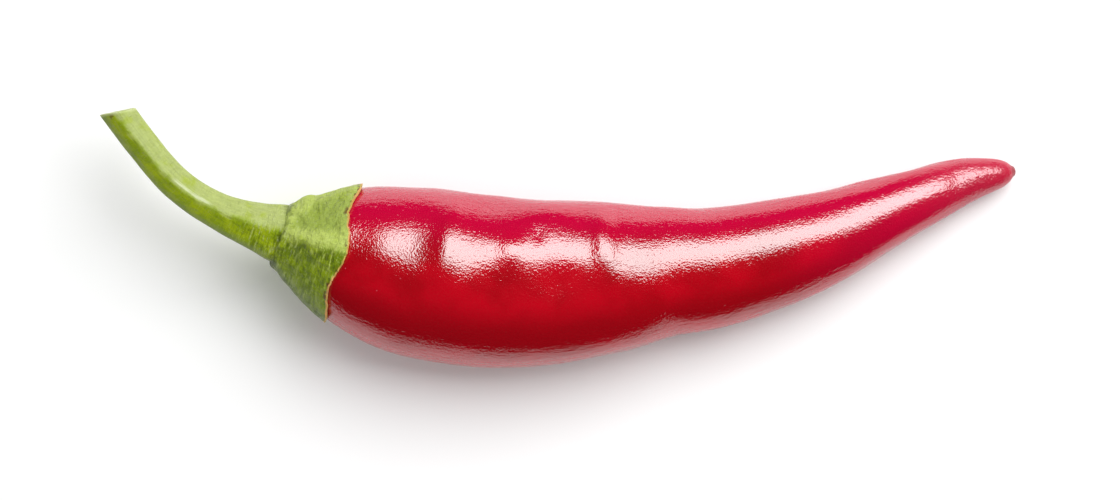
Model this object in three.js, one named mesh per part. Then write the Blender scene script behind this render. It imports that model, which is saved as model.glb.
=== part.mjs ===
// A fresh red chilli pepper lying on its side: a tapering, slightly bowed pod, the green calyx that caps its
// shoulder, and the ridged stem that it hung by, cut at a slant. Millimetres, +Z up, +X towards the pod's tip.
// The origin is under the middle of the pepper, on the surface that it rests on.
import * as THREE from "three";
import { mergeVertices } from "three/addons/utils/BufferGeometryUtils.js";

// ---- The centreline that all three pieces follow, from past the stem's cut to the pod's tip ----

const CENTRELINE = [
  [-64.6, 20.2, 15.0],
  [-59.5, 13.2, 14.2],
  [-54.6, 7.5, 13.0],
  [-48.8, 3.6, 11.6],
  [-40.3, 0.3, 10.3],
  [-31.6, -2.2, 9.6],
  [-20.6, -5.0, 9.4],
  [-6.6, -6.6, 9.0],
  [7.4, -5.8, 8.5],
  [14.4, -5.0, 7.6],
  [21.4, -4.4, 7.0],
  [35.4, -0.8, 6.1],
  [49.4, 4.9, 4.6],
  [57.4, 8.0, 3.4],
  [66.4, 9.8, 2.6],
];
const JOINT_POINT = 4; // the point of the centreline where the stem meets the calyx
const DIVISIONS = 100 * (CENTRELINE.length - 1);

// ---- Radii along the centreline, as [distance from the joint, radius] ----

const POD_PROFILE = [
  [1.8, 0],
  [2.3, 3.1],
  [3.8, 5.4],
  [6.2, 7.45],
  [9.6, 9.6],
  [17.5, 11.8],
  [25.0, 12.3],
  [39.0, 11.8],
  [49.0, 10.65],
  [55.5, 9.35],
  [63.0, 8.6],
  [76.0, 7.2],
  [90.5, 4.85],
  [99.6, 3.55],
  [104.0, 2.7],
  [106.8, 1.95],
  [108.3, 1.1],
  [108.8, 0],
];
const CALYX_PROFILE = [
  [0.15, 4.2],
  [0.9, 4.95],
  [2.4, 6.1],
  [4.8, 7.8],
  [7.2, 9.2],
  [8.6, 9.95],
];
const STEM_PROFILE = [
  [-0.15, 4.15],
  [-0.8, 4.25],
  [-2.8, 3.5],
  [-6.0, 2.9],
  [-9.2, 2.55],
  [-13.0, 2.35],
  [-20.0, 2.25],
  [-29.6, 2.3],
];

// ---- The pod's height as a share of its width, as [distance from the joint, share]. The stem is round. ----

const FLATNESS = [
  [-30.0, 1],
  [-1.0, 1],
  [14.0, 0.79],
  [40.0, 0.78],
  [70.0, 0.8],
  [108.8, 0.92],
];

const FIT_GAP = 0.3; // between neighbouring pieces

// The calyx's teeth: direction round the pepper in degrees (0 is +Y and 90 is up), and length past the edge.
const TEETH = [
  { around: 16, length: 0.9 },
  { around: 88, length: 1.45 },
  { around: 160, length: 1.0 },
  { around: 232, length: 1.1 },
  { around: 304, length: 1.0 },
];
const TOOTH_WIDTH = 22; // half width in degrees

const STEM_RIDGES = 5;
const RIDGE_HEIGHT = 0.05; // as a share of the stem's radius
const CUT_SLANT = 0.45; // how far the cut runs along the stem for each millimetre across it

// Shallow hollows in the pod's skin, and one swelling, whose depth is negative: distance from the joint,
// direction round the pod in degrees, half length, half width in degrees, and depth.
const HOLLOWS = [
  { along: 21.6, around: 62, length: 1.8, width: 34, depth: 0.25 },
  { along: 33.3, around: 66, length: 2.8, width: 16, depth: -0.2 },
  { along: 44.9, around: 58, length: 1.8, width: 32, depth: 0.25 },
  { along: 59.5, around: 250, length: 8.0, width: 40, depth: 0.25 },
  { along: 70.0, around: 130, length: 9.0, width: 30, depth: 0.2 },
  { along: 43.0, around: 190, length: 9.0, width: 30, depth: 0.22 },
];

const POD_STEPS = 60;
const POD_SIDES = 40;
const CALYX_SIDES = 60;
const CALYX_STEPS = 10;
const STEM_SIDES = 30;
const STEM_STEPS = 26;

const material = (color, roughness) => new THREE.MeshStandardMaterial({ color, roughness, metalness: 0 });
const POD_SKIN = material(0xc00523, 0.25);
const CALYX_GREEN = material(0x86a030, 0.6);
const STEM_GREEN = material(0x9fb848, 0.55);

const spine = new THREE.CatmullRomCurve3(CENTRELINE.map((point) => new THREE.Vector3(...point)));
spine.arcLengthDivisions = DIVISIONS;
const jointAt = spine.getLengths()[(DIVISIONS * JOINT_POINT) / (CENTRELINE.length - 1)];

// The centreline's place and directions at a distance from the joint.
function frameAt(along) {
  const share = THREE.MathUtils.clamp((jointAt + along) / spine.getLength(), 0, 1);
  const ahead = spine.getTangentAt(share);
  const side = new THREE.Vector3(0, 0, 1).cross(ahead).normalize();
  const up = ahead.clone().cross(side);
  return { centre: spine.getPointAt(share), side, up };
}

// A smooth line through [along, radius] points, as points of a turned profile.
function profilePoints(stations, steps) {
  const curve = new THREE.SplineCurve(stations.map(([along, radius]) => new THREE.Vector2(radius, along)));
  return curve.getSpacedPoints(steps).map(({ x, y }) => new THREE.Vector2(Math.max(x, 0), y));
}

// The radius that a profile has at a distance from the joint.
function radiusAt(points, along) {
  const next = points.findIndex((point) => point.y >= along);
  if (next <= 0) return points.at(next).x;
  const [before, after] = [points[next - 1], points[next]];
  return THREE.MathUtils.mapLinear(along, before.y, after.y, before.x, after.x);
}

const flatness = profilePoints(FLATNESS, DIVISIONS);

// Turns a profile into a solid, and bends it along the centreline. shape says where each of its points goes.
function bentSolid(profile, sides, shape) {
  const turned = new THREE.LatheGeometry(profile, sides);
  turned.deleteAttribute("normal");
  turned.deleteAttribute("uv");
  const geometry = mergeVertices(turned);
  const position = geometry.getAttribute("position");
  const point = new THREE.Vector3();
  for (let i = 0; i < position.count; i++) {
    point.fromBufferAttribute(position, i);
    const around = Math.atan2(point.x, point.z);
    const { along, radius } = shape(point.y, Math.hypot(point.x, point.z), around);
    const { centre, side, up } = frameAt(along);
    point.copy(centre).addScaledVector(side, radius * Math.cos(around));
    point.addScaledVector(up, radius * Math.sin(around) * radiusAt(flatness, along));
    position.setXYZ(i, point.x, point.y, Math.max(point.z, 0));
  }
  geometry.computeVertexNormals();
  return geometry;
}

// The shorter turn between a direction in radians and one in degrees, as a share of a width in degrees.
function turnAway(around, degrees, width) {
  const turn = Math.abs(THREE.MathUtils.radToDeg(around) - degrees) % 360;
  return Math.min(turn, 360 - turn) / width;
}

// How deep the pod's hollows are at a place on its skin.
function hollowDepth(along, around) {
  return HOLLOWS.reduce((depth, hollow) => {
    const off = turnAway(around, hollow.around, hollow.width);
    const away = (along - hollow.along) / hollow.length;
    return depth + hollow.depth * Math.exp(-off * off - away * away);
  }, 0);
}

// The pod's belly is pressed flat where it rests, because no point of it goes under the surface.
function makePod() {
  const profile = profilePoints(POD_PROFILE, POD_STEPS);
  return bentSolid(profile, POD_SIDES, (along, radius, around) => ({
    along,
    radius: Math.max(radius - hollowDepth(along, around), 0),
  }));
}

// How far the calyx's edge reaches past the valleys between its teeth.
function toothReach(around) {
  return TEETH.reduce((reach, tooth) => {
    return reach + tooth.length * Math.exp(-(turnAway(around, tooth.around, TOOTH_WIDTH) ** 2));
  }, 0);
}

// A cup whose outside flares from the stem to a toothed edge, and whose inside follows the pod's shoulder.
function makeCalyx() {
  const shoulder = profilePoints(POD_PROFILE, 4 * POD_STEPS);
  const outside = profilePoints(CALYX_PROFILE, CALYX_STEPS);
  const bottom = POD_PROFILE[0][0] - FIT_GAP;
  const edge = outside.at(-1).y;
  const inside = Array.from({ length: CALYX_STEPS + 1 }, (_, step) => {
    const along = THREE.MathUtils.lerp(edge, bottom, step / CALYX_STEPS);
    return new THREE.Vector2(radiusAt(shoulder, along + FIT_GAP) + FIT_GAP, along);
  });
  const profile = [
    new THREE.Vector2(0, outside[0].y),
    ...outside,
    ...inside.slice(0, -1),
    new THREE.Vector2(0, bottom),
  ];
  return bentSolid(profile, CALYX_SIDES, (along, radius, around) => {
    const reach = toothReach(around) * THREE.MathUtils.smoothstep(along, 3, edge);
    const grown = radiusAt(shoulder, along + reach) - radiusAt(shoulder, along);
    return { along: along + reach, radius: radius + grown };
  });
}

// A ridged rod that flares to the calyx. Its free end is cut at a slant.
function makeStem() {
  const side = profilePoints(STEM_PROFILE, STEM_STEPS);
  const [base, tip] = [side[0].y, side.at(-1).y];
  const profile = [new THREE.Vector2(0, tip), ...side.reverse(), new THREE.Vector2(0, base)];
  return bentSolid(profile, STEM_SIDES, (along, radius, around) => {
    const nearCut = THREE.MathUtils.smoothstep(-along, -tip - 6, -tip);
    const ridge = 1 + RIDGE_HEIGHT * Math.cos(STEM_RIDGES * around);
    return { along: along + nearCut * CUT_SLANT * radius * Math.cos(around), radius: radius * ridge };
  });
}

function named(name, geometry, skin) {
  const mesh = new THREE.Mesh(geometry, skin);
  mesh.name = name;
  return mesh;
}

const pepper = new THREE.Group();
pepper.add(named("pod", makePod(), POD_SKIN));
pepper.add(named("calyx", makeCalyx(), CALYX_GREEN));
pepper.add(named("stem", makeStem(), STEM_GREEN));

export default pepper;
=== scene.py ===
"""A fresh red chilli pepper lying on a white table, under soft studio light.

The pod, the calyx that caps its shoulder, and the ridged stem are turned solids, bent along one line. They
stand for the CAD nodes pod, calyx and stem. The pepper's sizes are in millimetres, and the studio's are in
metres. The finished meshes are in metres, in the CAD model's frame.
"""

import logging
import math
from collections.abc import Callable, Sequence
from dataclasses import dataclass, field
from enum import Enum
from typing import Any

import bmesh
import bpy
import numpy as np
from mathutils import Matrix, Vector, noise


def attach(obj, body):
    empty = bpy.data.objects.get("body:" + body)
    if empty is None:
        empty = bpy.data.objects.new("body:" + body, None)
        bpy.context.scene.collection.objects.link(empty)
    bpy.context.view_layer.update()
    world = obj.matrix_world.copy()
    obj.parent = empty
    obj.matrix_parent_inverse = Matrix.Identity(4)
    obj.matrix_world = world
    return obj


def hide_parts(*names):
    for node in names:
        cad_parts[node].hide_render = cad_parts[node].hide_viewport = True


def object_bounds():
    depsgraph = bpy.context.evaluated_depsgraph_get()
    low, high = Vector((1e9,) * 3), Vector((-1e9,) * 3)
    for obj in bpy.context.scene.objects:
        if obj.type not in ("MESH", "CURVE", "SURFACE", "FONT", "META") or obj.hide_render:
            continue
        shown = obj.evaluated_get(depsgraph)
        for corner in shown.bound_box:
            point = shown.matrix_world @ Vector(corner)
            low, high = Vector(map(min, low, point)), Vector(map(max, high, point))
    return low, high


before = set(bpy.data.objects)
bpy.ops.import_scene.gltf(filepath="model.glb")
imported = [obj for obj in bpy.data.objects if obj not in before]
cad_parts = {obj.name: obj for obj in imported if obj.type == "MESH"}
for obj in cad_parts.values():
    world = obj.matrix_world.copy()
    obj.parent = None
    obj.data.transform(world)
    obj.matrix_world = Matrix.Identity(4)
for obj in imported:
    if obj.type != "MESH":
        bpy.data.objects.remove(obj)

LOG = logging.getLogger("chilli")
MM = 0.001
CAD_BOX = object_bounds()

INSIDE = 0.1  # how many millimetres under a piece's outside a point counts as inside it

Point = tuple[float, ...]
Range = tuple[float, float]
Shape = Callable[[float, float, float], "Place"]


# ---- Smooth lines ----


def smooth_line(points: Sequence[Point], steps: int) -> np.ndarray:
    """Draws a smooth line through points, with the tangents of a centripetal spline.

    Args:
        points: the points that the line passes through, in order.
        steps: how many pieces each stretch between two points is drawn in.

    Returns:
        The line's points, one in each row.
    """
    known = np.array(points, float)
    knots = np.vstack([2 * known[0] - known[1], known, 2 * known[-1] - known[-2]])
    share = np.linspace(0, 1, steps, endpoint=False)[:, None]
    drawn = []
    for before, start, end, after in zip(knots, knots[1:], knots[2:], knots[3:]):
        # A stretch is a cubic that leaves its start and arrives at its end in the spline's directions there.
        gaps = [math.sqrt(np.linalg.norm(b - a)) for a, b in ((before, start), (start, end), (end, after))]
        slopes = [(start - before) / gaps[0], (end - start) / gaps[1], (after - end) / gaps[2]]
        leave = (slopes[0] - (end - before) / (gaps[0] + gaps[1]) + slopes[1]) * gaps[1]
        arrive = (slopes[1] - (after - start) / (gaps[1] + gaps[2]) + slopes[2]) * gaps[1]
        bend = -3 * start + 3 * end - 2 * leave - arrive
        twist = 2 * start - 2 * end + leave + arrive
        drawn.append(start + leave * share + bend * share**2 + twist * share**3)
    return np.vstack([*drawn, known[-1:]])


def blend(low: float, high: float, value: float) -> float:
    """Goes smoothly from 0 at low to 1 at high."""
    share = min(max((value - low) / (high - low), 0.0), 1.0)
    return share * share * (3 - 2 * share)


def bump(value: float) -> float:
    """A rounded hill, 1 high at 0 and almost gone at 2."""
    return math.exp(-value * value)


def turn_between(angle: float, other: float) -> float:
    """The shorter turn from one direction to another, in degrees, with its sign."""
    return (angle - other + 180) % 360 - 180


def ripple(x: float, y: float, z: float = 0.0) -> float:
    """Uneven hills and hollows between -1 and 1, one unit apart."""
    return noise.noise(Vector((x, y, z)))


def ring(around: float, radius: float) -> Point:
    """The point of a circle in a direction in degrees, so that what is read there closes on itself."""
    return radius * math.cos(math.radians(around)), radius * math.sin(math.radians(around))


@dataclass(frozen=True)
class Place:
    """Where a point of a straight solid goes, and what its material is told about it."""

    along: float
    radius: float
    depth: float = 0.0
    side: float = 0.0
    height: float = 0.0


@dataclass(frozen=True)
class Station:
    """A place on the spine, with the directions across it."""

    centre: Vector
    side: Vector
    up: Vector


@dataclass(frozen=True)
class Spine:
    """The bent line that the whole pepper grew along, from past the stem's cut to the pod's tip."""

    points: tuple[Point, ...] = (
        (-64.6, 20.2, 15.0),
        (-59.5, 13.2, 14.2),
        (-54.6, 7.5, 13.0),
        (-48.8, 3.6, 11.6),
        (-40.3, 0.3, 10.3),
        (-31.6, -2.2, 9.6),
        (-20.6, -5.0, 9.4),
        (-6.6, -6.6, 9.0),
        (7.4, -5.8, 8.5),
        (14.4, -5.0, 7.6),
        (21.4, -4.4, 7.0),
        (35.4, -0.8, 6.1),
        (49.4, 4.9, 4.6),
        (57.4, 8.0, 3.4),
        (66.4, 9.8, 2.6),
    )
    joint: int = 4
    steps: int = 60
    line: np.ndarray = field(init=False, repr=False)
    reach: np.ndarray = field(init=False, repr=False)
    heading: np.ndarray = field(init=False, repr=False)

    def __post_init__(self) -> None:
        """Draws the line, and measures along it from where the stem meets the calyx."""
        line = smooth_line(self.points, self.steps)
        lengths = np.linalg.norm(np.diff(line, axis=0), axis=1)
        reach = np.concatenate([[0.0], np.cumsum(lengths)])
        object.__setattr__(self, "line", line)
        object.__setattr__(self, "reach", reach - reach[self.joint * self.steps])
        object.__setattr__(self, "heading", np.gradient(line, axis=0))

    def at(self, along: float) -> Station:
        """Finds a place on the line.

        Args:
            along: the distance from where the stem meets the calyx, positive towards the pod's tip.

        Returns:
            The place, and the directions across it: level to the side, and up.
        """
        centre = Vector([np.interp(along, self.reach, self.line[:, axis]) for axis in range(3)])
        ahead = Vector([np.interp(along, self.reach, self.heading[:, axis]) for axis in range(3)])
        ahead.normalize()
        side = Vector((0, 0, 1)).cross(ahead).normalized()
        return Station(centre, side, ahead.cross(side))


@dataclass(frozen=True)
class Profile:
    """A measure along the spine, as (distance from the joint, measure), and the smooth line through it.

    The measure is a radius, unless the name says otherwise.
    """

    stations: tuple[Point, ...]
    steps: int = 24
    line: np.ndarray = field(init=False, repr=False)

    def __post_init__(self) -> None:
        """Draws the line through the stations."""
        object.__setattr__(self, "line", smooth_line(self.stations, self.steps))

    def at(self, along: float) -> float:
        """The measure at a distance from the joint."""
        return float(np.interp(along, self.line[:, 0], self.line[:, 1]))

    def evenly(self, count: int) -> list[Point]:
        """Divides the line into equal steps.

        Args:
            count: how many steps.

        Returns:
            The (distance, measure) at the ends of the steps, with no measure under 0.
        """
        lengths = np.linalg.norm(np.diff(self.line, axis=0), axis=1)
        reach = np.concatenate([[0.0], np.cumsum(lengths)])
        wanted = np.linspace(0, reach[-1], count + 1)
        along = np.interp(wanted, reach, self.line[:, 0])
        measure = np.interp(wanted, reach, self.line[:, 1])
        return [(float(distance), max(float(size), 0.0)) for distance, size in zip(along, measure)]


# ---- Meshes ----


class Grown:
    """A turned solid that is bent along the spine.

    Its mesh keeps the unbent places as the vector attribute "grown", and the numbers "depth", "side" and
    "height" for the materials. FLATNESS is its height as a share of its width, along the spine.
    """

    MERGE_DISTANCE = 1e-4
    FLATNESS = Profile(((-30.0, 1.0), (-1.0, 1.0), (14.0, 0.79), (40.0, 0.78), (70.0, 0.8), (108.8, 0.92)))

    def __init__(self, name: str, profile: Sequence[Point], sides: int) -> None:
        """Turns a profile round the axis.

        Args:
            name: the finished piece's name.
            profile: (distance along the axis, radius) of each point, from axis to axis or closed on itself.
            sides: how many sides the solid has.
        """
        self.name = name
        self.bm = bmesh.new()
        along, radius = profile[0]
        last = self.bm.verts.new((radius, 0, along))
        for along, radius in profile[1:]:
            last = bmesh.ops.extrude_vert_indiv(self.bm, verts=[last])["verts"][0]
            last.co = (radius, 0, along)
        outline = self.bm.verts[:] + self.bm.edges[:]
        whole = {"cent": (0, 0, 0), "axis": (0, 0, 1), "angle": math.tau, "steps": sides, "use_merge": True}
        bmesh.ops.spin(self.bm, geom=outline, **whole)
        bmesh.ops.remove_doubles(self.bm, verts=self.bm.verts[:], dist=self.MERGE_DISTANCE)
        bmesh.ops.recalc_face_normals(self.bm, faces=self.bm.faces[:])
        self.grown = self.bm.verts.layers.float_vector.new("grown")
        self.depth = self.bm.verts.layers.float.new("depth")
        self.side = self.bm.verts.layers.float.new("side")
        self.height = self.bm.verts.layers.float.new("height")

    def bend(self, spine: Spine, shape: Shape) -> None:
        """Moves each point to its place on the pepper, and keeps where it was on the straight solid.

        Args:
            spine: the line to bend the solid along.
            shape: gives a point's new place from its distance, radius and direction in degrees, which is 0 to
                the side and 90 up.
        """
        for vert in self.bm.verts:
            around = math.atan2(vert.co.y, vert.co.x)
            place = shape(vert.co.z, math.hypot(vert.co.x, vert.co.y), math.degrees(around))
            sideways, upward = place.radius * math.cos(around), place.radius * math.sin(around)
            vert[self.grown] = (sideways, upward, place.along)
            vert[self.depth], vert[self.side], vert[self.height] = place.depth, place.side, place.height
            station = spine.at(place.along)
            vert.co = station.centre + station.side * sideways
            vert.co += station.up * upward * self.FLATNESS.at(place.along)
            vert.co.z = max(vert.co.z, 0.0)

    def finished(self, material: bpy.types.Material) -> bpy.types.Object:
        """Makes the smooth-shaded object, in metres.

        Args:
            material: the piece's finish.

        Returns:
            The object, linked to the scene.
        """
        bmesh.ops.scale(self.bm, vec=(MM, MM, MM), verts=self.bm.verts[:])
        for face in self.bm.faces:
            face.smooth = True
        mesh = bpy.data.meshes.new(self.name)
        self.bm.to_mesh(mesh)
        self.bm.free()
        mesh.materials.append(material)
        piece = bpy.data.objects.new(self.name, mesh)
        bpy.context.scene.collection.objects.link(piece)
        return piece


# ---- Shader nodes ----


class Value:
    """An output socket of a node, with arithmetic that adds the Math nodes for it."""

    def __init__(self, kit: "NodeKit", socket: bpy.types.NodeSocket) -> None:
        self.kit = kit
        self.socket = socket

    def math(self, operation: str, *inputs: "Value | float") -> "Value":
        """Runs a Math node on this value and the others."""
        return self.kit.add("ShaderNodeMath", {"operation": operation}, dict(enumerate((self, *inputs))))

    def __add__(self, other: "Value | float") -> "Value":
        """self + other."""
        return self.math("ADD", other)

    def __sub__(self, other: "Value | float") -> "Value":
        """self - other."""
        return self.math("SUBTRACT", other)

    def __mul__(self, other: "Value | float") -> "Value":
        """self * other."""
        return self.math("MULTIPLY", other)

    def __truediv__(self, other: "Value | float") -> "Value":
        """self / other."""
        return self.math("DIVIDE", other)

    def __pow__(self, other: "Value | float") -> "Value":
        """self ** other."""
        return self.math("POWER", other)

    def __rsub__(self, other: float) -> "Value":
        """other - self."""
        return self * -1.0 + other

    __radd__ = __add__
    __rmul__ = __mul__

    def swing(self, amount: float) -> "Value":
        """Turns noise from 0 to 1 into a swing of amount in all, half of it to each side of 0."""
        return (self - 0.5) * amount


Inputs = dict[str | int, Any]


@dataclass(frozen=True)
class Pattern:
    """Cloudy noise.

    scale is how many hills there are to a millimetre, detail is how many finer layers lie on them, roughness
    is how strong those are, and squeeze is how many times each axis is shortened.
    """

    scale: float = 1.0
    detail: float = 2.0
    roughness: float = 0.5
    squeeze: Point | None = None


class NodeKit:
    """Adds nodes to one node tree.

    CORE is the radius, in millimetres, inside which facing fades out, because the middle faces nowhere.
    """

    CORE = 0.1

    def __init__(self, tree: bpy.types.NodeTree) -> None:
        """Starts with an empty tree."""
        self.tree = tree
        tree.nodes.clear()

    def add(
        self,
        kind: str,
        settings: Inputs | None = None,
        inputs: Inputs | None = None,
        output: str | int = 0,
    ) -> Value:
        """Adds a node.

        Args:
            kind: the node's type.
            settings: its own properties, by name.
            inputs: what its sockets are set or linked to, by name or number.
            output: the output socket to return, by name or number.

        Returns:
            The output socket, or an empty value where the node has none.
        """
        node = self.tree.nodes.new(kind)
        for name, value in (settings or {}).items():
            setattr(node, name, value)
        for name, value in (inputs or {}).items():
            if isinstance(value, Value):
                self.tree.links.new(value.socket, node.inputs[name])
            else:
                node.inputs[name].default_value = value
        return Value(self, node.outputs[output]) if node.outputs else Value(self, None)

    def mix(self, factor: Value | float, first: Value | Point, second: Value | Point) -> Value:
        """Mixes two colours.

        Args:
            factor: how much of the second colour to take, from 0 to 1.
            first: the colour where factor is 0.
            second: the colour where factor is 1.

        Returns:
            The mixed colour.
        """
        colours = [colour if isinstance(colour, Value) else (*colour, 1.0) for colour in (first, second)]
        inputs = {"Factor": factor, 6: colours[0], 7: colours[1]}  # the node's two colour sockets
        return self.add("ShaderNodeMix", {"data_type": "RGBA"}, inputs, 2)

    def smooth(self, value: Value, low: float, high: float) -> Value:
        """0 where value is low, 1 where it is high, and smooth between."""
        inputs = {"Value": value, "From Min": low, "From Max": high}
        return self.add("ShaderNodeMapRange", {"interpolation_type": "SMOOTHSTEP"}, inputs)

    def place(self) -> Value:
        """The place on the straight solid, in millimetres."""
        return self.add("ShaderNodeAttribute", {"attribute_name": "grown"}, output="Vector")

    def number(self, attribute: str) -> Value:
        """A number that the mesh keeps at each point."""
        return self.add("ShaderNodeAttribute", {"attribute_name": attribute}, output="Fac")

    def parts(self, place: Value) -> tuple[Value, Value, Value]:
        """A place's three coordinates, each on its own: sideways, upward and along."""
        split = self.add("ShaderNodeSeparateXYZ", None, {"Vector": place}, "X")
        return split, Value(self, split.socket.node.outputs["Y"]), Value(self, split.socket.node.outputs["Z"])

    def facing(self, sideways: Value, upward: Value) -> Value:
        """How far a point faces to the side: near 1 on the side at 0 degrees, and near -1 on the other."""
        radius = (sideways * sideways + upward * upward) ** 0.5
        return sideways / (radius + self.CORE)

    def noise(self, place: Value, pattern: Pattern) -> Value:
        """Reads a noise pattern.

        Args:
            place: where to read it.
            pattern: what the noise is like.

        Returns:
            The noise, from 0 to 1.
        """
        if pattern.squeeze:
            place = self.add("ShaderNodeMapping", None, {"Vector": place, "Scale": pattern.squeeze})
        inputs = {
            "Vector": place,
            "Scale": pattern.scale,
            "Detail": pattern.detail,
            "Roughness": pattern.roughness,
        }
        return self.add("ShaderNodeTexNoise", None, inputs, "Fac")

    def cells(self, place: Value, scale: float) -> Value:
        """The distance to the nearest of scattered points, scale of them to a millimetre."""
        return self.add("ShaderNodeTexVoronoi", None, {"Vector": place, "Scale": scale}, "Distance")

    def raised(self, height: Value, distance: float, over: Value | None = None) -> Value:
        """Makes a normal that follows a height.

        Args:
            height: the height, as a share of distance.
            distance: how high a height of 1 is, in metres.
            over: another normal that this one lies on top of, if there is one.

        Returns:
            The normal.
        """
        inputs = {"Height": height, "Distance": distance, "Strength": 1.0}
        if over:
            inputs["Normal"] = over
        return self.add("ShaderNodeBump", None, inputs)

    def surface(self, inputs: Inputs) -> None:
        """Gives the material its shader, with these inputs."""
        shader = self.add("ShaderNodeBsdfPrincipled", None, inputs)
        self.add("ShaderNodeOutputMaterial", None, {"Surface": shader})


def linear(red: int, green: int, blue: int) -> Point:
    """A colour of 0 to 255 levels, as the linear values that the shaders take."""
    levels = [level / 255 for level in (red, green, blue)]
    return tuple(v / 12.92 if v <= 0.04045 else ((v + 0.055) / 1.055) ** 2.4 for v in levels)


def darker(colour: Point, share: float) -> Point:
    """A colour with only a share of its brightness."""
    return tuple(share * part for part in colour)


def new_material(name: str) -> tuple[bpy.types.Material, NodeKit]:
    """Makes an empty material.

    Args:
        name: the material's name.
    """
    material = bpy.data.materials.new(name)
    material.use_nodes = True
    return material, NodeKit(material.node_tree)


@dataclass(frozen=True)
class PodSkin:
    """Waxy red skin, glossy over deep red flesh, and finely wrinkled all over.

    The red is darker on the side away from the key lamp, as painted shade, brighter again at the underside's
    edge, as painted bounce light from the table, and rosier on the side that faces the lamp, as painted
    light, and towards the tip.
    Lengths are in millimetres along the pod, apart from the wrinkles' heights, which are in metres. A range
    says where a change starts and where it is complete.
    """

    # painted shade: the red on the side away from the key lamp
    low: Point = linear(152, 0, 14)
    # painted bounce light: the brighter red at the underside's edge, standing in for light from the table
    under: Point = linear(184, 0, 28)
    deep: Point = linear(158, 0, 14)
    bright: Point = linear(184, 0, 22)
    # partly painted light: rosier on the side facing the key lamp; partly the pod's own rosier red towards
    # the tip
    lit_side_and_tail_rose: Point = linear(184, 0, 52)
    speck: Point = linear(226, 110, 130)
    nub: Point = linear(150, 20, 36)
    patches: Pattern = Pattern(0.12, 3.0)
    bright_patches: Range = (0.35, 0.65)
    shade_side: Range = (0.3, 0.65)
    bounce_light_edge: Range = (0.7, 1.0)
    below_swing: float = 0.5
    lit_side_facing: Range = (0.25, 0.95)
    lit_side_patches: float = 0.3
    tail: Range = (66.0, 96.0)
    tail_rosiness: float = 0.8
    speck_scale: float = 0.9
    speck_edge: Range = (0.06, 0.12)
    speck_share: float = 0.7
    speckled: Pattern = Pattern(0.3, 1.0)
    speckled_patches: Range = (0.5, 0.62)
    shoulder: Range = (10.0, 26.0)
    nub_start: Range = (107.9, 108.4)
    ior: float = 1.9
    roughness: float = 0.12
    tip: Range = (88.0, 104.0)
    tip_roughness: float = 0.16
    tip_wrinkles: float = 2.0
    wrinkles: Pattern = Pattern(1.8, 2.0, 0.6, (1.0, 1.0, 0.8))
    wrinkle_height: float = 0.00004
    grain: Pattern = Pattern(4.2, 0.0)
    grain_height: float = 0.000027
    creases: Pattern = Pattern(squeeze=(1.4, 1.4, 0.4))
    crease_height: float = 0.00016
    flank_sharpness: float = 4.0

    def colour(self, kit: NodeKit, place: Value) -> Value:
        """Paints red that varies in patches and along the pod, with painted shade on the side away from the
        key lamp, painted bounce light at the underside's edge and painted light on the side facing the lamp,
        and with specks near the calyx.

        Args:
            kit: adds the nodes.
            place: the place on the straight solid.

        Returns:
            The colour.
        """
        sideways, upward, along = kit.parts(place)
        mottle = kit.noise(place, self.patches)
        red = kit.mix(kit.smooth(mottle, *self.bright_patches), self.deep, self.bright)
        facing = kit.facing(sideways, upward)
        # painted shade and painted bounce light: the red changes with how far the point faces away from the
        # key lamp
        away_from_lamp = mottle.swing(self.below_swing) - facing
        red = kit.mix(kit.smooth(away_from_lamp, *self.shade_side), red, self.low)
        # painted bounce light: brighter red again at the underside's edge
        red = kit.mix(kit.smooth(away_from_lamp, *self.bounce_light_edge), red, self.under)
        # painted light: rosier on the side facing the key lamp; the tail's rosier red is the pod's own
        lit_side = kit.smooth(facing + mottle * self.lit_side_patches, *self.lit_side_facing)
        tail = kit.smooth(along, *self.tail)
        red = kit.mix((lit_side + tail * self.tail_rosiness).math("MINIMUM", 1.0), red, self.lit_side_and_tail_rose)
        specks = 1.0 - kit.smooth(kit.cells(place, self.speck_scale), *self.speck_edge)
        speckled = kit.smooth(kit.noise(place, self.speckled), *self.speckled_patches)
        near = 1.0 - kit.smooth(along, *self.shoulder)
        red = kit.mix(specks * speckled * near * self.speck_share, red, self.speck)
        return kit.mix(kit.smooth(along, *self.nub_start), red, self.nub)

    def normal(self, kit: NodeKit, place: Value, tip: Value) -> Value:
        """Raises wrinkles that grow towards the tip, lengthwise creases on the flanks, and a fine grain.

        Args:
            kit: adds the nodes.
            place: the place on the straight solid.
            tip: how near the point is to the tip, from 0 to 1.

        Returns:
            The normal.
        """
        sideways, upward, _ = kit.parts(place)
        wrinkles = kit.noise(place, self.wrinkles) * (tip * self.tip_wrinkles + 1.0)
        flank = kit.facing(sideways, upward).math("ABSOLUTE") ** self.flank_sharpness
        normal = kit.raised(wrinkles, self.wrinkle_height)
        normal = kit.raised(kit.noise(place, self.creases) * flank, self.crease_height, over=normal)
        return kit.raised(kit.noise(place, self.grain), self.grain_height, over=normal)

    def material(self) -> bpy.types.Material:
        """Builds the skin's material.

        Returns:
            The material.
        """
        made, kit = new_material("pod_skin")
        place = kit.place()
        tip = kit.smooth(kit.parts(place)[2], *self.tip)
        inputs = {
            "Base Color": self.colour(kit, place),
            "Roughness": tip * self.tip_roughness + self.roughness,
            "IOR": self.ior,
            "Normal": self.normal(kit, place, tip),
        }
        kit.surface(inputs)
        return made


@dataclass(frozen=True)
class GreenPoint:
    """What the green skin's colour depends on: where a point is, and the patterns there."""

    sideways: Value
    upward: Value
    along: Value
    reach: Value
    side: Value
    depth: Value
    height: Value
    spiky: Value
    streaks: Value
    hairs: Value
    fibres: Value
    threads: Value
    clouds: Value
    spots: Value
    dry_patches: Value


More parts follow.
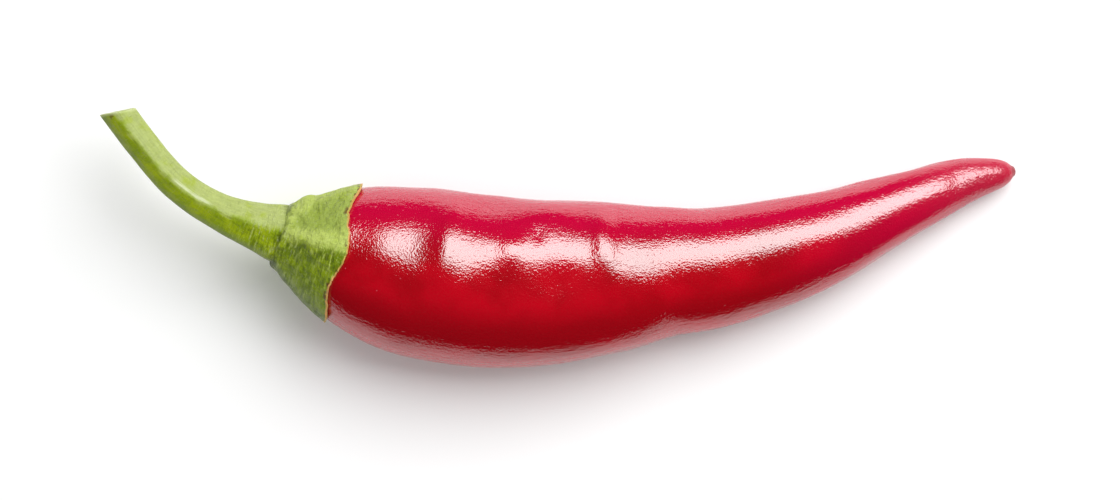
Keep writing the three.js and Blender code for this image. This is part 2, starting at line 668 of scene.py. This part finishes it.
@dataclass(frozen=True)
class GreenSkin:
    """Satin, finely hairy green skin, painted a paler green on the side of the ridge that faces the key lamp,
    as painted sheen; the ridge runs down the stem and calyx.

    The pieces keep three numbers for it: "side", how far past the ridge a point is, "depth", how far past the
    calyx's rim or the edge of the stem's cut it is, negative before it, and "height", how far the calyx's
    ribs stand out there. These and all lengths are in millimetres, apart from the heights of the bumps, which
    are in metres. A range says where a change starts and where it is complete, and a swing is how far a
    pattern moves the place of a change. dry_start is counted from where inner_start starts.
    """

    name: str
    # painted sheen: the paler green on the side of the ridge that faces the key lamp, also used for paler
    # fibres and the ribs' painted-light crowns
    lit_and_pale_green: Point
    olive: Point
    # a darker green for random dark clouds and fibres, also used as painted shade in the valleys and the
    # crease
    shade: Point
    inner: Point
    inner_start: Range
    spiky_reach: Range
    painted_edge_sheen_share: float
    dry_share: float
    lump_height: float
    glint_share: float = 0.0
    # painted sheen: grey along the edge that faces away from the key lamp, standing in for the table's
    # reflection
    painted_edge_sheen: Point = linear(124, 134, 100)
    hair: Point = linear(214, 220, 184)
    brown: Point = linear(92, 56, 22)
    glare: Point = linear(232, 238, 206)
    roughness: float = 0.38
    gloss: float = 0.18
    fuzz: float = 0.03
    fuzz_roughness: float = 0.35
    bump_height: float = 0.00035
    streaks: Pattern = Pattern(1.0, 3.0, 0.6, (2.4, 2.4, 0.5))
    hairs: Pattern = Pattern(1.0, 2.0, 0.6, (0.9, 0.9, 5.0))
    fibres: Pattern = Pattern(1.0, 2.0, 0.6, (0.6, 0.6, 3.4))
    threads: Pattern = Pattern(1.0, 2.0, 0.6, (5.0, 5.0, 0.25))
    clouds: Pattern = Pattern(0.45, 3.0)
    dry_patches: Pattern = Pattern(0.5, 3.0)
    lumps: Pattern = Pattern(0.55)
    spot_scale: float = 1.7
    ridge_edge: Range = (-0.5, 0.6)
    fibre_swing: float = 3.2
    streak_swing: float = 1.5
    cloud_swing: float = 1.4
    pale_threads: Range = (0.4, 0.6)
    thread_brightness: float = 0.84
    olive_clouds: Range = (0.5, 0.72)
    olive_share: float = 0.6
    shade_clouds: Range = (0.35, 0.65)
    pale_fibres: Range = (0.54, 0.66)
    pale_fibre_share: float = 0.75
    dark_fibres: Range = (0.36, 0.48)
    dark_fibre_share: float = 0.7
    dark_fibre_brightness: float = 0.5
    painted_edge_sheen_facing: Range = (-1.0, -0.6)
    painted_edge_sheen_level: Range = (-2.0, 1.5)
    painted_edge_sheen_swing: float = 4.0
    shaded_valley_height: Range = (-0.5, 0.05)
    lit_crown_height: Range = (0.35, 0.9)
    relief_swing: float = 0.6
    relief_shading_share: float = 0.45
    crease_reach: Range = (0.1, 0.9)
    crease_swing: float = 1.6
    crease_clouds: Range = (0.3, 0.6)
    crease_shade_share: float = 0.85
    crease_shade_brightness: float = 0.35
    glint: Range = (-16.5, -12.0)
    glint_fade: float = 1.5
    glint_side: float = -0.35
    glint_edge: Range = (0.06, 0.34)
    glint_swing: float = 0.8
    spot_edge: Range = (0.06, 0.14)
    spot_share: float = 0.15
    hair_edge: Range = (0.6, 0.72)
    hair_reach: Range = (0.6, 4.5)
    hair_share: float = 0.08
    joint_hair_share: float = 0.22
    dry_edge: Range = (0.55, 0.6)
    dry_start: Range = (-0.6, -0.1)
    mottled_inner: Range = (0.4, 0.7)
    mottled_share: float = 0.5
    slight_swing: float = 0.5

    def read(self, kit: NodeKit, place: Value) -> GreenPoint:
        """Reads where a point is, and the patterns there.

        Args:
            kit: adds the nodes.
            place: the place on the straight solid.

        Returns:
            What was read.
        """
        sideways, upward, along = kit.parts(place)
        reach = along.math("ABSOLUTE")
        return GreenPoint(
            sideways=sideways,
            upward=upward,
            along=along,
            reach=reach,
            side=kit.number("side"),
            depth=kit.number("depth"),
            height=kit.number("height"),
            spiky=1.0 - kit.smooth(reach, *self.spiky_reach),
            streaks=kit.noise(place, self.streaks),
            hairs=kit.noise(place, self.hairs),
            fibres=kit.noise(place, self.fibres),
            threads=kit.noise(place, self.threads),
            clouds=kit.noise(place, self.clouds),
            spots=kit.cells(place, self.spot_scale),
            dry_patches=kit.noise(place, self.dry_patches),
        )

    def halves(self, kit: NodeKit, at: GreenPoint) -> Value:
        """Paints the side of the ridge that faces the key lamp a paler green, as painted sheen, and the other
        side olive, with a ragged line between them.

        Args:
            kit: adds the nodes.
            at: the point.

        Returns:
            The colour.
        """
        # painted sheen: the side of the ridge facing the key lamp is painted a paler green
        thready = kit.smooth((at.streaks + at.threads) * 0.5, *self.pale_threads)
        lit_and_pale_green = kit.mix(thready, darker(self.lit_and_pale_green, self.thread_brightness), self.lit_and_pale_green)
        lit_and_pale_green = kit.mix(kit.smooth(at.clouds, *self.olive_clouds) * self.olive_share, lit_and_pale_green, self.olive)
        shaded = kit.smooth(at.clouds + at.streaks.swing(self.slight_swing), *self.shade_clouds)
        olive = kit.mix(shaded, self.olive, self.shade)
        light = kit.smooth(at.fibres, *self.pale_fibres) * at.spiky
        olive = kit.mix(light * self.pale_fibre_share, olive, self.lit_and_pale_green)
        dark = (1.0 - kit.smooth(at.fibres, *self.dark_fibres)) * at.spiky
        olive = kit.mix(dark * self.dark_fibre_share, olive, darker(self.shade, self.dark_fibre_brightness))
        ragged = at.side + at.clouds.swing(self.cloud_swing)
        ragged = ragged + at.fibres.swing(self.fibre_swing) * at.spiky
        ragged = ragged + at.streaks.swing(self.streak_swing) * (1.0 - at.spiky)
        return kit.mix(kit.smooth(ragged, *self.ridge_edge), lit_and_pale_green, olive)

    def relief(self, kit: NodeKit, at: GreenPoint, green: Value) -> Value:
        """Paints a grey painted sheen along the edge that faces away from the key lamp, standing in for a
        reflection of the table, painted shade in the valleys and in a broken crease where the pieces meet,
        and painted light on the ribs' crowns.

        Args:
            kit: adds the nodes.
            at: the point.
            green: the colour so far.

        Returns:
            The colour.
        """
        # painted sheen: grey on the upper edge that faces away from the key lamp
        facing = kit.facing(at.sideways, at.upward) + at.streaks.swing(self.slight_swing)
        upper = kit.smooth(at.upward + at.clouds.swing(self.painted_edge_sheen_swing), *self.painted_edge_sheen_level)
        edge = (1.0 - kit.smooth(facing, *self.painted_edge_sheen_facing)) * upper
        green = kit.mix(edge * self.painted_edge_sheen_share, green, self.painted_edge_sheen)
        # painted shade: darker green in the valleys between the ribs
        low = at.height + at.fibres.swing(self.slight_swing) + at.clouds.swing(self.relief_swing)
        valley = 1.0 - kit.smooth(low, *self.shaded_valley_height)
        green = kit.mix(valley * self.relief_shading_share, green, self.shade)
        # painted light: paler green on the ribs' crowns
        lit_crown = kit.smooth(at.height + at.fibres.swing(self.relief_swing), *self.lit_crown_height)
        green = kit.mix(lit_crown * self.relief_shading_share, green, self.lit_and_pale_green)
        # painted shade: a dark, broken line in the crease where the stem meets the calyx
        near = 1.0 - kit.smooth(at.reach + at.streaks.swing(self.crease_swing), *self.crease_reach)
        crease = near * kit.smooth(at.clouds, *self.crease_clouds)
        return kit.mix(crease * self.crease_shade_share, green, darker(self.shade, self.crease_shade_brightness))

    def marks(self, kit: NodeKit, at: GreenPoint, green: Value) -> Value:
        """Paints a glint on the ridge as a painted highlight, whitish spots and hairs, and dry patches near
        the rim or the cut.

        Args:
            kit: adds the nodes.
            at: the point.
            green: the colour so far.

        Returns:
            The colour.
        """
        off = (at.side - self.glint_side + at.threads.swing(self.glint_swing)).math("ABSOLUTE")
        start, end = self.glint
        within = kit.smooth(at.along, start - self.glint_fade, start)
        within = within * (1.0 - kit.smooth(at.along, end, end + self.glint_fade))
        glint = (1.0 - kit.smooth(off, *self.glint_edge)) * within
        green = kit.mix(glint * self.glint_share, green, self.glare)
        spots = 1.0 - kit.smooth(at.spots, *self.spot_edge)
        green = kit.mix(spots * self.spot_share, green, self.hair)
        joint = 1.0 - kit.smooth(at.reach, *self.hair_reach)
        hairy = kit.smooth(at.hairs, *self.hair_edge)
        green = kit.mix(hairy * (joint * self.joint_hair_share + self.hair_share), green, self.hair)
        near_edge = kit.smooth(at.depth, *(self.inner_start[0] + offset for offset in self.dry_start))
        dry = kit.smooth(at.dry_patches, *self.dry_edge) * near_edge
        return kit.mix(dry * self.dry_share, green, self.brown)

    def colour(self, kit: NodeKit, at: GreenPoint) -> Value:
        """Paints the skin, and the bare colour past the rim or on the cut.

        Args:
            kit: adds the nodes.
            at: the point.

        Returns:
            The colour.
        """
        green = self.relief(kit, at, self.halves(kit, at))
        green = self.marks(kit, at, green)
        mottled = kit.smooth(at.clouds + at.hairs.swing(self.slight_swing), *self.mottled_inner)
        inner = kit.mix(mottled * self.mottled_share, self.inner, self.olive)
        return kit.mix(kit.smooth(at.depth, *self.inner_start), green, inner)

    def material(self) -> bpy.types.Material:
        """Builds the skin's material.

        Returns:
            The material.
        """
        made, kit = new_material(self.name)
        place = kit.place()
        at = self.read(kit, place)
        lumpy = kit.raised(kit.noise(place, self.lumps), self.lump_height)
        inputs = {
            "Base Color": self.colour(kit, at),
            "Roughness": self.roughness,
            "Specular IOR Level": self.gloss,
            "Sheen Weight": self.fuzz,
            "Sheen Roughness": self.fuzz_roughness,
            "Normal": kit.raised((at.streaks + at.hairs) * 0.5, self.bump_height, over=lumpy),
        }
        kit.surface(inputs)
        return made


# ---- The pepper's pieces ----


@dataclass(frozen=True)
class Hollow:
    """A shallow hollow in the skin, or a swelling where its depth is negative."""

    along: float
    around: float
    length: float
    width: float
    depth: float

    def at(self, along: float, around: float) -> float:
        """How deep it is at a place."""
        lengthwise = bump((along - self.along) / self.length)
        return self.depth * lengthwise * bump(turn_between(around, self.around) / self.width)


@dataclass(frozen=True)
class Pod:
    """The red fruit, with the hollows that break up its gloss.

    Its skin waves by wave everywhere, and by side_wave more on its sides, where the sine of the direction is
    near side_level. The hollows and the waves fade where the pod is thinner than full_radius.
    """

    profile: Profile = Profile(
        (
            (1.8, 0),
            (2.3, 3.1),
            (3.8, 5.4),
            (6.2, 7.45),
            (9.6, 9.6),
            (17.5, 11.8),
            (25.0, 12.3),
            (39.0, 11.8),
            (49.0, 10.65),
            (55.5, 9.35),
            (63.0, 8.6),
            (76.0, 7.2),
            (90.5, 4.85),
            (99.6, 3.55),
            (104.0, 2.7),
            (106.8, 1.95),
            (107.9, 1.3),
            (108.3, 0.85),
            (108.7, 0.6),
            (108.85, 0),
        )
    )
    hollows: tuple[Hollow, ...] = (
        Hollow(11.0, 64, 2.0, 30, 0.15),
        Hollow(18.8, 68, 3.0, 28, 0.36),
        Hollow(23.9, 62, 2.0, 36, -0.56),
        Hollow(26.2, 102, 2.6, 18, -0.32),
        Hollow(29.0, 30, 4.0, 20, 0.32),
        Hollow(32.4, 95, 3.6, 17, 0.42),
        Hollow(33.4, 66, 2.0, 11, -0.36),
        Hollow(39.8, 33, 5.0, 22, -0.62),
        Hollow(40.2, 92, 4.2, 18, 0.7),
        Hollow(37.7, 54, 1.0, 8, 0.2),
        Hollow(47.0, 58, 1.6, 34, -0.68),
        Hollow(44.0, 150, 10.0, 16, -0.2),
        Hollow(52.0, 112, 6.0, 22, -0.2),
        Hollow(59.5, 250, 8.0, 40, 0.25),
        Hollow(70.0, 130, 9.0, 30, 0.15),
        Hollow(43.0, 190, 9.0, 30, 0.22),
        Hollow(99.9, 70, 1.6, 50, 0.32),
    )
    wave: float = 0.05
    side_wave: float = 0.16
    side_level: float = -0.1
    side_width: float = 0.45
    wave_length: float = 7.0
    wave_radius: float = 2.0
    full_radius: float = 4.0
    rings: int = 320
    sides: int = 180

    def shape(self, along: float, radius: float, around: float) -> Place:
        """Takes the hollows out of the turned radius, and lets it wave a little.

        Args:
            along: the distance from the joint.
            radius: the turned solid's radius there.
            around: the direction in degrees.

        Returns:
            The point's new place.
        """
        depth = sum(hollow.at(along, around) for hollow in self.hollows)
        level = math.sin(math.radians(around))
        height = self.wave + self.side_wave * bump((level - self.side_level) / self.side_width)
        wave = height * ripple(along / self.wave_length, *ring(around, self.wave_radius))
        fade = blend(0.0, self.full_radius, radius)
        return Place(along, max(radius - (depth - wave) * fade, 0.0))

    def build(self, spine: Spine) -> bpy.types.Object:
        """Makes the pod.

        Args:
            spine: the line that it is bent along.

        Returns:
            The finished piece.
        """
        solid = Grown("pod_skin", self.profile.evenly(self.rings), self.sides)
        solid.bend(spine, self.shape)
        return solid.finished(PodSkin().material())


@dataclass(frozen=True)
class Tooth:
    """One tooth of the calyx, with the rib that runs up to it."""

    around: float
    length: float
    rib: float

    def near(self, around: float, width: float) -> float:
        """How near a direction is to the tooth's middle: 1 there, and almost 0 two widths away."""
        return bump(turn_between(around, self.around) / width)


@dataclass(frozen=True)
class Calyx:
    """The green cap: a cup that flares from the stem to a ragged edge with five ribbed teeth.

    ridge is the direction of the line between its side painted paler towards the key lamp, as painted sheen,
    and its olive side, in degrees.
    """

    outside: Profile = Profile(
        ((-0.2, 3.9), (0.05, 4.45), (0.9, 5.05), (2.4, 6.1), (4.8, 7.8), (7.2, 9.2), (8.6, 9.95))
    )
    inner_gap: float = 0.05
    bottom: float = 1.5
    teeth: tuple[Tooth, ...] = (
        Tooth(16, 0.9, 0.6),
        Tooth(88, 1.45, 1.2),
        Tooth(160, 1.0, 0.9),
        Tooth(232, 1.1, 0.8),
        Tooth(304, 1.0, 0.8),
    )
    tooth_width: float = 22.0
    tooth_start: float = 3.0
    rag: float = 0.16
    rag_radius: float = 9.0
    fine_rag_radius: float = 26.0
    fine_rag_share: float = 0.6
    rib_width: float = 14.0
    rib_rise: Range = (0.0, 2.5)
    rib_fall: Range = (5.0, 9.5)
    rib_fall_share: float = 0.65
    valley: float = 0.6
    lip: Hollow = Hollow(1.9, 20, 1.5, 26, -0.95)
    rough: float = 0.1
    rough_pace: float = 0.9
    rough_radius: float = 6.0
    raised_thickness: float = 0.5
    raised_radius: Range = (2.5, 4.0)
    ridge: float = 89.0
    outer_rings: int = 90
    inner_rings: int = 30
    sides: int = 320

    def reach(self, around: float) -> float:
        """Measures how far the edge reaches past the valleys between the teeth.

        Args:
            around: the direction in degrees.

        Returns:
            The distance along the pod.
        """
        teeth = sum(tooth.length * tooth.near(around, self.tooth_width) for tooth in self.teeth)
        coarse = ripple(*ring(around, self.rag_radius))
        fine = ripple(*ring(around, self.fine_rag_radius))
        return teeth + self.rag * (coarse + self.fine_rag_share * fine)

    def relief(self, along: float, around: float) -> float:
        """Measures how far the ribs, the valleys between them and the lip over the stem stand out.

        Args:
            along: the distance from the joint.
            around: the direction in degrees.

        Returns:
            The height, which is negative in a valley.
        """
        ribs = sum(tooth.rib * tooth.near(around, self.rib_width) for tooth in self.teeth)
        share = blend(*self.rib_rise, along) * (1 - self.rib_fall_share * blend(*self.rib_fall, along))
        rough = self.rough * ripple(self.rough_pace * along, *ring(around, self.rough_radius))
        return (ribs - self.valley) * share + rough - self.lip.at(along, around)

    def build(self, spine: Spine, pod: Pod) -> bpy.types.Object:
        """Makes the calyx to fit the pod's shoulder.

        Args:
            spine: the line that it is bent along.
            pod: the pod that it caps.

        Returns:
            The finished piece.
        """
        outside = self.outside.evenly(self.outer_rings)
        edge = outside[-1][0]

        def inner_radius(along: float) -> float:
            """The radius of the cup's inside."""
            return pod.profile.at(along + self.inner_gap) + self.inner_gap

        steps = range(self.inner_rings + 1)
        inside = [edge + (self.bottom - edge) * step / self.inner_rings for step in steps]
        inside = [(along, inner_radius(along)) for along in inside]
        profile = [(outside[0][0], 0.0), *outside, *inside[:-1], (self.bottom, 0.0)]

        def shape(along: float, radius: float, around: float) -> Place:
            """Draws the teeth out over the pod, and raises the ribs on the outside.

            Args:
                along: the distance from the joint.
                radius: the turned solid's radius there.
                around: the direction in degrees.

            Returns:
                The point's new place, with its distance to the rim, to the ridge and up from the cup.
            """
            reach = self.reach(around) * blend(self.tooth_start, edge, along)
            grown = pod.profile.at(along + reach) - pod.profile.at(along)
            thickness = radius - inner_radius(along) if along > self.bottom else radius
            raised = self.relief(along, around) * blend(0.0, self.raised_thickness, thickness)
            raised *= blend(*self.raised_radius, radius)
            from_rim = (edge - along) * (1 + reach / edge) if thickness > INSIDE else 0.0
            side = radius * math.radians(turn_between(around, self.ridge))
            return Place(along + reach, radius + grown + raised, -from_rim, side, raised)

        solid = Grown("calyx_cap", profile, self.sides)
        solid.bend(spine, shape)
        skin = GreenSkin(
            "calyx_green",
            # painted sheen: the paler green on the side facing the key lamp
            lit_and_pale_green=linear(174, 190, 92),
            olive=linear(146, 166, 8),
            shade=linear(104, 126, 8),
            inner=linear(214, 160, 96),
            inner_start=(-0.32, -0.2),
            spiky_reach=(12.0, 14.0),
            painted_edge_sheen_share=0.75,
            dry_share=0.9,
            lump_height=0.0009,
        )
        return solid.finished(skin.material())


@dataclass(frozen=True)
class Stem:
    """The green stalk: flat sides with rounded ridges between them, flared at the calyx, cut at a slant.

    ridge_line is the direction of the ridge between its side painted paler towards the key lamp, as painted
    sheen, and its olive side, in degrees, along the spine.
    cap_rings are the rings of the cut's face, as shares of its radius.
    """

    profile: Profile = Profile(
        (
            (-29.6, 2.3),
            (-20.0, 2.25),
            (-13.0, 2.35),
            (-9.2, 2.55),
            (-6.0, 2.95),
            (-2.8, 3.5),
            (-0.9, 4.0),
            (0.2, 4.2),
        )
    )
    facets: int = 5
    ridge_line: Profile = Profile(((-29.6, 98.0), (-18.0, 93.0), (-9.0, 88.0), (0.5, 74.0)))
    sharpness: float = 9.0
    facet_share: float = 0.75
    cut_slant: float = 0.45
    cut_reach: float = 6.0
    cap_rings: tuple[float, ...] = (0.0, 0.2, 0.4, 0.6, 0.8, 0.92)
    pith_depth: float = 0.25
    pith_width: float = 0.45
    rough: float = 0.012
    rough_length: float = 2.5
    rough_radius: float = 2.0
    rings: int = 180
    sides: int = 160

    def section(self, around: float, ridge: float) -> float:
        """Measures the section, a polygon with rounded corners.

        Args:
            around: the direction in degrees.
            ridge: the direction of one of the section's ridges.

        Returns:
            The radius in that direction, as a share of the profile's.
        """
        step = 360 / self.facets
        flats = [math.cos(math.radians(around - ridge - (k + 0.5) * step)) for k in range(self.facets)]
        polygon = sum(max(flat, 0.0) ** self.sharpness for flat in flats) ** (-1 / self.sharpness)
        return 1 + self.facet_share * (polygon * math.cos(math.radians(step / 4)) - 1)

    def build(self, spine: Spine) -> bpy.types.Object:
        """Makes the stem.

        Args:
            spine: the line that it is bent along.

        Returns:
            The finished piece.
        """
        side = self.profile.evenly(self.rings)
        (tip, end_radius), base = side[0], side[-1][0]

        def on_cap(share: float) -> Point:
            """The point of the cut's face at a share of its radius."""
            return tip + self.pith_depth * bump(share / self.pith_width), share * end_radius

        profile = [*map(on_cap, self.cap_rings), *side, (base, 0.0)]

        def shape(along: float, radius: float, around: float) -> Place:
            """Gives the section its flats and ridges, and slants the cut.

            Args:
                along: the distance from the joint.
                radius: the turned solid's radius there.
                around: the direction in degrees.

            Returns:
                The point's new place, with its distance past the cut's edge and to the ridge.
            """
            near_cut = 1 - blend(tip, tip + self.cut_reach, along)
            slant = near_cut * self.cut_slant * radius * math.cos(math.radians(around))
            ridge = self.ridge_line.at(along)
            rough = 1 + self.rough * ripple(along / self.rough_length, *ring(around, self.rough_radius))
            under_skin = self.profile.at(along) - radius
            depth = under_skin if under_skin > INSIDE else tip - along
            past = radius * math.radians(turn_between(around, ridge))
            return Place(along + slant, radius * self.section(around, ridge) * rough, depth, past)

        solid = Grown("stem_stalk", profile, self.sides)
        solid.bend(spine, shape)
        skin = GreenSkin(
            "stem_green",
            # painted sheen: the paler green on the side facing the key lamp
            lit_and_pale_green=linear(172, 184, 108),
            olive=linear(152, 170, 2),
            shade=linear(128, 150, 2),
            inner=linear(200, 208, 150),
            inner_start=(-0.55, 0.05),
            spiky_reach=(3.0, 9.0),
            painted_edge_sheen_share=0.6,
            dry_share=0.6,
            lump_height=0.0004,
            glint_share=0.42,
        )
        return solid.finished(skin.material())


# ---- The studio ----


COOL = (0.74, 1.0, 0.99)
WHITE = (1.0, 1.0, 1.0)


class Seen(Enum):
    """What a lamp is for."""

    IN_GLOSS = "mirrored in glossy surfaces, and lights nothing else"
    AS_LIGHT = "lights surfaces, and isn't mirrored in them"

    @property
    def tint(self) -> Point:
        """The lamp's colour: a little cool where it's mirrored."""
        return COOL if self is Seen.IN_GLOSS else WHITE


@dataclass(frozen=True)
class Softbox:
    """A rectangular lamp that faces the pepper, with two sides level.

    lean is how far from straight above it stands, in degrees towards +X and +Y. spread is how far it reaches
    to each side of its middle, in degrees. glow is the brightness of its face, and distance is in metres.
    """

    name: str
    lean: tuple[float, float]
    spread: tuple[float, float]
    glow: float
    seen: Seen
    distance: float = 0.6

    def place(self, target: Vector) -> None:
        """Hangs the lamp.

        Args:
            target: the point that it faces.
        """
        lamp = bpy.data.lights.new(self.name, "AREA")
        lamp.shape = "RECTANGLE"
        lamp.size, lamp.size_y = (2 * self.distance * math.tan(math.radians(angle)) for angle in self.spread)
        lamp.energy = self.glow * math.pi * lamp.size * lamp.size_y
        lamp.color = self.seen.tint
        away = Vector((*(math.tan(math.radians(angle)) for angle in self.lean), 1.0)).normalized()
        level = (Vector((1, 0, 0)) - away * away.x).normalized()
        turned = Matrix((level, away.cross(level), away)).transposed().to_4x4()
        holder = bpy.data.objects.new(self.name, lamp)
        holder.matrix_world = Matrix.Translation(target + away * self.distance) @ turned
        holder.visible_glossy = self.seen is Seen.IN_GLOSS
        holder.visible_diffuse = self.seen is Seen.AS_LIGHT
        holder.visible_camera = False
        bpy.context.scene.collection.objects.link(holder)


@dataclass(frozen=True)
class Studio:
    """The camera, the white table, the lamps and the room's dim light, with sizes in metres.

    The camera sees view_width at a height of view_height, and stands camera_shift away from the CAD box's
    middle. room and mirrored_room are how bright the room is as a light and as it is mirrored; white is 1.
    """

    camera_height: float = 0.7
    view_width: float = 0.15926
    view_height: float = 0.0095
    camera_shift: tuple[float, float] = (-0.00031, -0.00172)
    sensor_mm: float = 36.0
    clip: Range = (0.01, 50.0)
    floor_radius: float = 6.0
    floor_sides: int = 96
    floor_white: Point = (0.92, 0.92, 0.92, 1.0)
    floor_roughness: float = 0.9
    floor_gloss: float = 0.1
    room: float = 0.52
    mirrored_room: float = 0.005
    lamps: tuple[Softbox, ...] = (
        Softbox("key", lean=(25, 30), spread=(26, 24), glow=4.3, seen=Seen.AS_LIGHT),
        Softbox("shine", lean=(20, 28), spread=(28, 18), glow=3.7, seen=Seen.IN_GLOSS),
        Softbox("shine_middle", lean=(20, 28), spread=(24, 14), glow=3.7, seen=Seen.IN_GLOSS, distance=0.58),
    )

    def camera(self, box: tuple[Vector, Vector]) -> None:
        """Sets the camera straight above the pepper.

        Args:
            box: the CAD box's lowest and highest corners.
        """
        data = bpy.data.cameras.new("camera")
        data.sensor_width = self.sensor_mm
        data.lens = self.sensor_mm * (self.camera_height - self.view_height) / self.view_width
        data.clip_start, data.clip_end = self.clip
        camera = bpy.data.objects.new("camera", data)
        middle = (box[0] + box[1]) / 2
        shift_x, shift_y = self.camera_shift
        camera.location = (middle.x + shift_x, middle.y + shift_y, self.camera_height)
        bpy.context.scene.collection.objects.link(camera)
        bpy.context.scene.camera = camera

    def floor(self, level: float) -> None:
        """Lays the white table under the pepper.

        Args:
            level: the height of its top.
        """
        bm = bmesh.new()
        bmesh.ops.create_circle(bm, cap_ends=True, segments=self.floor_sides, radius=self.floor_radius)
        bmesh.ops.translate(bm, verts=bm.verts[:], vec=(0, 0, level))
        mesh = bpy.data.meshes.new("floor")
        bm.to_mesh(mesh)
        bm.free()
        material, kit = new_material("floor_white")
        inputs = {
            "Base Color": self.floor_white,
            "Roughness": self.floor_roughness,
            "Specular IOR Level": self.floor_gloss,
        }
        kit.surface(inputs)
        mesh.materials.append(material)
        floor = bpy.data.objects.new("floor", mesh)
        bpy.context.scene.collection.objects.link(floor)

    def world(self) -> None:
        """Makes the room: white where the camera sees it, dim where it lights or is mirrored."""
        world = bpy.data.worlds.new("room")
        bpy.context.scene.world = world
        world.use_nodes = True
        kit = NodeKit(world.node_tree)
        seen = kit.add("ShaderNodeLightPath", output="Is Camera Ray")
        lighting = kit.add("ShaderNodeLightPath", output="Is Diffuse Ray")
        strength = seen + lighting * self.room + self.mirrored_room
        background = kit.add("ShaderNodeBackground", None, {"Color": (*WHITE, 1.0), "Strength": strength})
        kit.add("ShaderNodeOutputWorld", None, {"Surface": background})

    def build(self, box: tuple[Vector, Vector]) -> None:
        """Sets up the camera, the table, the room and the lamps.

        Args:
            box: the CAD box's lowest and highest corners.
        """
        low, high = box
        self.camera(box)
        self.floor(low.z)
        self.world()
        for lamp in self.lamps:
            lamp.place(Vector(((low.x + high.x) / 2, (low.y + high.y) / 2, high.z / 2)))


def stand_for(piece: bpy.types.Object, node: str) -> None:
    """Ties a finished piece to the CAD node that it stands for, and reports it.

    Args:
        piece: the piece.
        node: the CAD node's name.
    """
    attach(piece, "root")
    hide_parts(node)
    LOG.info("%s stands for %s: %d faces", piece.name, node, len(piece.data.polygons))


def main() -> None:
    """Builds the studio and the pepper."""
    logging.basicConfig(level=logging.INFO, format="%(name)s: %(message)s")
    Studio().build(CAD_BOX)
    bpy.context.scene.view_settings.view_transform = "Standard"

    spine = Spine()
    pod = Pod()
    stand_for(pod.build(spine), "pod")
    stand_for(Calyx().build(spine, pod), "calyx")
    stand_for(Stem().build(spine), "stem")


if __name__ == "__main__":
    main()
